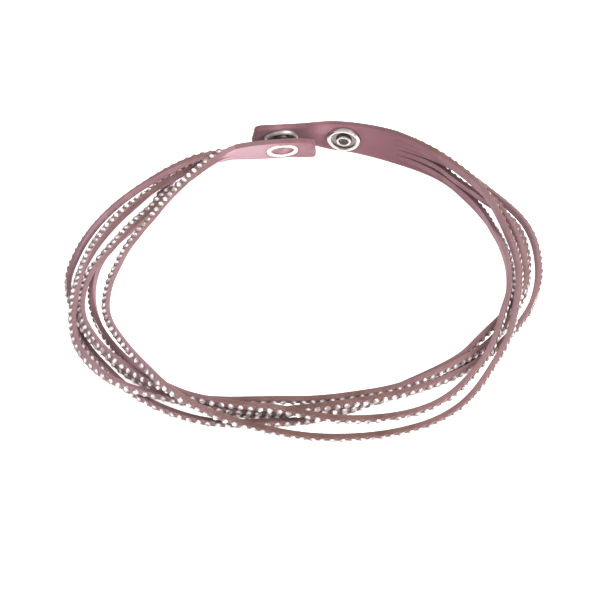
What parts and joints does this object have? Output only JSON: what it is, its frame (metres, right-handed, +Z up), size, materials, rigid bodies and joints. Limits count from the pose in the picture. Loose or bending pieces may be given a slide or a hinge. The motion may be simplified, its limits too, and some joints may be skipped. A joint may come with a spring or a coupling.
{
  "type": "leather bracelet",
  "caption": "Wrap bracelet: a mauve suede strap slit into strands set with clear crystals, its tab ends overlapped and closed by a ring snap, standing on edge.",
  "frame": {"origin": "middle of the loop's outline, on the ground that the strap's lower edge stands on", "axes": "+Z up, +Y towards the snapped tabs at the back, +X to the right as seen from the front"},
  "size_m": [0.1252, 0.1207, 0.0134],
  "materials": {
    "suede": "matt brushed suede",
    "inner_suede": "matt brushed suede",
    "crystal": "clear, faceted",
    "snap_metal": "polished"
  },
  "bodies": {
    "root": {"inner_tab": "inner_suede", "outer_tab": "suede", "strand_1": "suede", "strand_2": "suede", "strand_3": "suede", "strand_4": "suede", "strand_5": "suede", "strand_6": "suede", "crystal_row_1": "crystal", "crystal_row_5": "crystal", "inner_ring": "snap_metal", "stud": "snap_metal", "closed_socket": "snap_metal", "spare_socket": "snap_metal", "back_ring": "snap_metal", "spare_back_ring": "snap_metal"}
  },
  "joints": []
}
